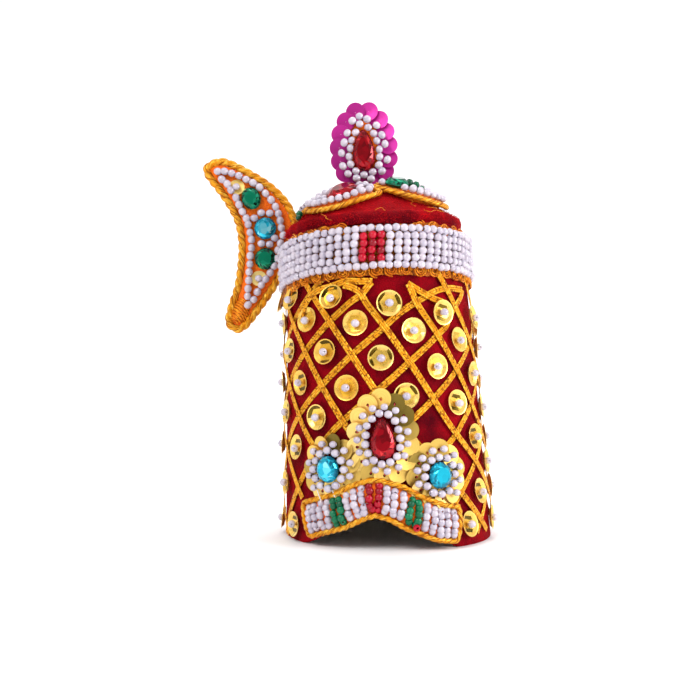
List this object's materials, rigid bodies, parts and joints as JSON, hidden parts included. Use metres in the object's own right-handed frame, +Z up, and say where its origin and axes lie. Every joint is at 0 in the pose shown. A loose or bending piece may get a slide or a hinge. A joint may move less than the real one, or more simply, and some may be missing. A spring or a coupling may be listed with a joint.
{
  "type": "deity crown",
  "caption": "Tall velvet crown for a small figure, with bead band, ribbon lattice, sequins, side crescent and upright flower.",
  "frame": {"origin": "middle of the open foot, on the plane that the crown stands on", "axes": "+Z up, -Y to the front with the arch and medallions, +X to the crown's side away from the crescent"},
  "size_m": [0.0764, 0.0561, 0.1088],
  "materials": {
    "velvet": "cut pile velvet, deep crimson with a brighter sheen",
    "lace": "orange-gold metallic lace tape",
    "pearl": "pearl white, slightly lavender, glossy",
    "red_bead": "glossy red",
    "green_bead": "glossy emerald green",
    "ribbon": "gold metallic woven ribbon",
    "gold_sequin": "metallised gold film",
    "magenta_sequin": "satin magenta film",
    "cord": "twisted orange-gold metallic cord",
    "felt": "orange felt",
    "red_stone": "clear red acrylic, foil backed",
    "aqua_stone": "clear aqua acrylic, foil backed",
    "green_stone": "clear emerald acrylic, foil backed"
  },
  "bodies": {
    "root": {"velvet_tube": "velvet", "velvet_cap": "velvet", "lace_band": "lace", "pearl_band": "pearl", "red_bead_block": "red_bead", "lattice_left": "ribbon", "lattice_right": "ribbon", "body_sequins": "gold_sequin", "sequin_pearls": "pearl", "arch_backing": "felt", "arch_beads_white": "pearl", "arch_beads_green": "green_bead", "arch_beads_red": "red_bead", "arch_cord": "cord", "medallion_centre_petals": "gold_sequin", "medallion_centre_pearls": "pearl", "medallion_centre_stone": "red_stone", "medallion_left_petals": "gold_sequin", "medallion_left_pearls": "pearl", "medallion_left_stone": "aqua_stone", "medallion_right_petals": "gold_sequin", "medallion_right_pearls": "pearl", "medallion_right_stone": "aqua_stone", "crescent_felt": "felt", "crescent_cord": "cord", "crescent_pearls": "pearl", "crescent_sequins": "gold_sequin", "crescent_stone_top": "green_stone", "crescent_stone_middle": "aqua_stone", "crescent_stone_low": "green_stone", "leaf_pad_front": "felt", "leaf_cord_front": "cord", "leaf_stone_front": "red_stone", "leaf_pad_right": "felt", "leaf_cord_right": "cord", "leaf_stone_right": "green_stone", "leaf_pad_back": "felt", "leaf_cord_back": "cord", "leaf_stone_back": "red_stone", "leaf_pad_left": "felt", "leaf_cord_left": "cord", "leaf_stone_left": "green_stone", "leaf_tip_beads": "green_bead", "finial_petals": "magenta_sequin", "finial_pearls": "pearl", "finial_stone": "red_stone"}
  },
  "joints": []
}
